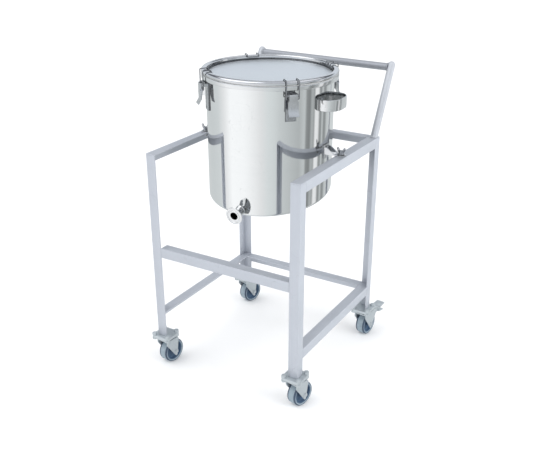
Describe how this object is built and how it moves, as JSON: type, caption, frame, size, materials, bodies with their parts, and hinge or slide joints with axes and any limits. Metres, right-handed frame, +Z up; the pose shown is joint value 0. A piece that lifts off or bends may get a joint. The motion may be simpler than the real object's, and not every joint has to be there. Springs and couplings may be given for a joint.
{
  "type": "slope-bottom storage tank on a castered stand",
  "caption": "Upright stainless tank with a clip-on lid, loop handles and a bottom outlet, hung in a rolling stand of angle profile with a push handle.",
  "frame": {"origin": "on the floor, under the middle of the whole object's box", "axes": "+Z up; -Y is the front, with the outlet and the open side of the stand; +Y is the push handle's side"},
  "size_m": [0.522, 0.6255, 0.9093],
  "materials": {
    "satin_steel": "satin",
    "satin_tube": "satin",
    "polished_steel": "polished",
    "satin_lid": "satin",
    "bright_steel": "polished",
    "zinc_steel": "satin",
    "grey_rubber": "matte",
    "dark_hub": "matte",
    "pale_rubber": "matte"
  },
  "bodies": {
    "stand_and_tank": {"front_left_leg": "satin_steel", "front_right_leg": "satin_steel", "rear_left_leg": "satin_steel", "rear_right_leg": "satin_steel", "left_top_rail": "satin_steel", "right_top_rail": "satin_steel", "rear_top_rail": "satin_steel", "front_cross_rail": "satin_steel", "left_lower_rail": "satin_steel", "right_lower_rail": "satin_steel", "rear_lower_rail": "satin_steel", "left_handle_upright": "satin_tube", "right_handle_upright": "satin_tube", "handle_crossbar": "satin_tube", "front_left_caster_plate": "zinc_steel", "front_right_caster_plate": "zinc_steel", "rear_left_caster_plate": "zinc_steel", "rear_right_caster_plate": "zinc_steel", "tank_shell": "polished_steel", "tank_rim": "polished_steel", "tank_bottom": "polished_steel", "lid": "satin_lid", "lid_gasket": "pale_rubber", "outlet": "polished_steel", "left_tank_handle": "polished_steel", "right_tank_handle": "polished_steel", "left_tank_bracket": "satin_steel", "right_tank_bracket": "satin_steel", "left_wing_bolt": "polished_steel", "right_wing_bolt": "polished_steel", "front_left_latch_base": "bright_steel", "front_right_latch_base": "bright_steel", "rear_left_latch_base": "bright_steel", "rear_right_latch_base": "bright_steel"},
    "front_left_swivel": {"front_left_caster_fork": "zinc_steel"},
    "front_right_swivel": {"front_right_caster_fork": "zinc_steel"},
    "rear_left_swivel": {"rear_left_caster_fork": "zinc_steel"},
    "rear_right_swivel": {"rear_right_caster_fork": "zinc_steel"},
    "front_left_wheel": {"front_left_wheel_hub": "dark_hub", "front_left_tyre": "grey_rubber"},
    "front_right_wheel": {"front_right_wheel_hub": "dark_hub", "front_right_tyre": "grey_rubber"},
    "rear_left_wheel": {"rear_left_wheel_hub": "dark_hub", "rear_left_tyre": "grey_rubber"},
    "rear_right_wheel": {"rear_right_wheel_hub": "dark_hub", "rear_right_tyre": "grey_rubber"},
    "rear_right_brake": {"rear_right_brake_pedal": "zinc_steel"},
    "front_left_lever": {"front_left_latch_lever": "bright_steel"},
    "front_right_lever": {"front_right_latch_lever": "bright_steel"},
    "rear_left_lever": {"rear_left_latch_lever": "bright_steel"},
    "rear_right_lever": {"rear_right_latch_lever": "bright_steel"},
    "front_left_bail": {"front_left_latch_bail": "bright_steel"},
    "front_right_bail": {"front_right_latch_bail": "bright_steel"},
    "rear_left_bail": {"rear_left_latch_bail": "bright_steel"},
    "rear_right_bail": {"rear_right_latch_bail": "bright_steel"}
  },
  "joints": [
    {"name": "front_left_swivel", "type": "hinge", "parent": "stand_and_tank", "child": "front_left_swivel", "pos_m": [-0.23, -0.28175, 0.0865], "axis": [0, 0, 1], "continuous": true},
    {"name": "front_right_swivel", "type": "hinge", "parent": "stand_and_tank", "child": "front_right_swivel", "pos_m": [0.23, -0.28175, 0.0865], "axis": [0, 0, 1], "continuous": true},
    {"name": "rear_left_swivel", "type": "hinge", "parent": "stand_and_tank", "child": "rear_left_swivel", "pos_m": [-0.23, 0.18325, 0.0865], "axis": [0, 0, 1], "continuous": true},
    {"name": "rear_right_swivel", "type": "hinge", "parent": "stand_and_tank", "child": "rear_right_swivel", "pos_m": [0.23, 0.18325, 0.0865], "axis": [0, 0, 1], "continuous": true},
    {"name": "front_left_wheel", "type": "hinge", "parent": "front_left_swivel", "child": "front_left_wheel", "pos_m": [-0.22722, -0.26194, 0.0375], "axis": [0.9903, -0.1392, 0], "continuous": true},
    {"name": "front_right_wheel", "type": "hinge", "parent": "front_right_swivel", "child": "front_right_wheel", "pos_m": [0.23484, -0.26234, 0.0375], "axis": [0.9703, -0.2419, 0], "continuous": true},
    {"name": "rear_left_wheel", "type": "hinge", "parent": "rear_left_swivel", "child": "rear_left_wheel", "pos_m": [-0.22482, 0.20257, 0.0375], "axis": [0.9659, -0.2588, 0], "continuous": true},
    {"name": "rear_right_wheel", "type": "hinge", "parent": "rear_right_swivel", "child": "rear_right_wheel", "pos_m": [0.23244, 0.2031, 0.0375], "axis": [0.9925, -0.1219, 0], "continuous": true},
    {"name": "rear_right_brake", "type": "hinge", "parent": "rear_right_swivel", "child": "rear_right_brake", "pos_m": [0.23628, 0.23437, 0.076], "axis": [-0.9925, 0.1219, 0], "range_deg": [0, 18]},
    {"name": "front_right_lever", "type": "hinge", "parent": "stand_and_tank", "child": "front_right_lever", "pos_m": [0.14566, -0.1644, 0.868], "axis": [-0.6691, -0.7431, 0], "range_deg": [0, 95]},
    {"name": "rear_right_lever", "type": "hinge", "parent": "stand_and_tank", "child": "rear_right_lever", "pos_m": [0.13115, 0.11241, 0.868], "axis": [0.7431, -0.6691, 0], "range_deg": [0, 95]},
    {"name": "rear_left_lever", "type": "hinge", "parent": "stand_and_tank", "child": "rear_left_lever", "pos_m": [-0.14566, 0.0979, 0.868], "axis": [0.6691, 0.7431, 0], "range_deg": [0, 95]},
    {"name": "front_left_lever", "type": "hinge", "parent": "stand_and_tank", "child": "front_left_lever", "pos_m": [-0.13115, -0.17891, 0.868], "axis": [-0.7431, 0.6691, 0], "range_deg": [0, 95]},
    {"name": "front_right_bail", "type": "hinge", "parent": "front_right_lever", "child": "front_right_bail", "pos_m": [0.14566, -0.1644, 0.859], "axis": [-0.6691, -0.7431, 0], "range_deg": [-82, 0]},
    {"name": "rear_right_bail", "type": "hinge", "parent": "rear_right_lever", "child": "rear_right_bail", "pos_m": [0.13115, 0.11241, 0.859], "axis": [0.7431, -0.6691, 0], "range_deg": [-82, 0]},
    {"name": "rear_left_bail", "type": "hinge", "parent": "rear_left_lever", "child": "rear_left_bail", "pos_m": [-0.14566, 0.0979, 0.859], "axis": [0.6691, 0.7431, 0], "range_deg": [-82, 0]},
    {"name": "front_left_bail", "type": "hinge", "parent": "front_left_lever", "child": "front_left_bail", "pos_m": [-0.13115, -0.17891, 0.859], "axis": [-0.7431, 0.6691, 0], "range_deg": [-82, 0]}
  ],
  "couplings": [
    {"joint": "front_right_bail", "follows": "front_right_lever", "ratio": -0.855},
    {"joint": "rear_right_bail", "follows": "rear_right_lever", "ratio": -0.855},
    {"joint": "rear_left_bail", "follows": "rear_left_lever", "ratio": -0.855},
    {"joint": "front_left_bail", "follows": "front_left_lever", "ratio": -0.855}
  ]
}
